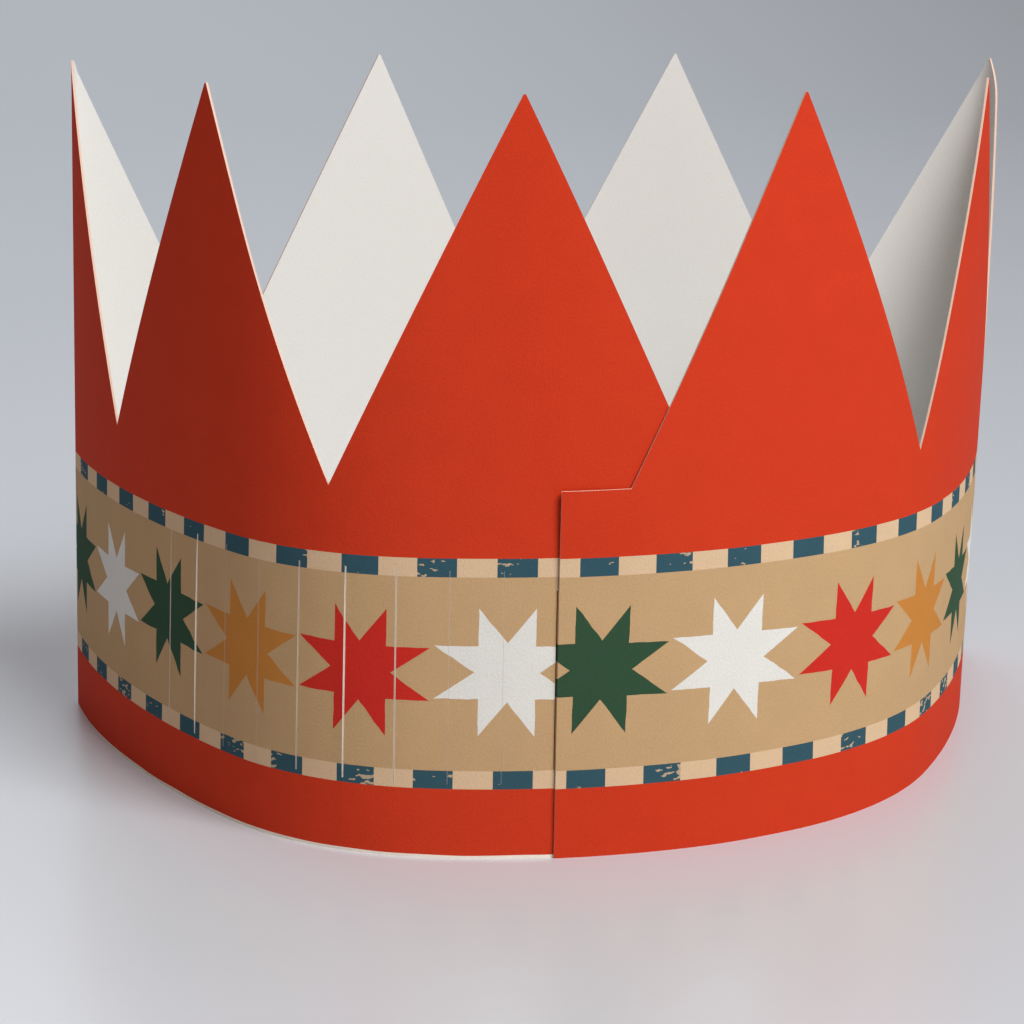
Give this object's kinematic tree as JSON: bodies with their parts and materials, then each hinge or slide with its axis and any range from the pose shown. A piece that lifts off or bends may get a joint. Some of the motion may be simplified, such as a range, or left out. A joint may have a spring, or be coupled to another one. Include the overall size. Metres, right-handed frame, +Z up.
{
  "type": "paper crown",
  "caption": "Closed ring of folded card with a row of tall pointed tips, closed at the front by a tab in a slit; printed band outside, plain inside.",
  "frame": {"origin": "middle of the crown's bounding box in plan, on the level of its foot edge", "axes": "+Z up from the foot edge to the tips; X along the ring's long way, between its two old fold creases; the front with the seam faces -Y"},
  "size_m": [0.2138, 0.1446, 0.14],
  "materials": {
    "card": "matte uncoated card, printed outside in red with a kraft band, off-white inside"
  },
  "bodies": {
    "root": {"crown_strip": "card"}
  },
  "joints": []
}
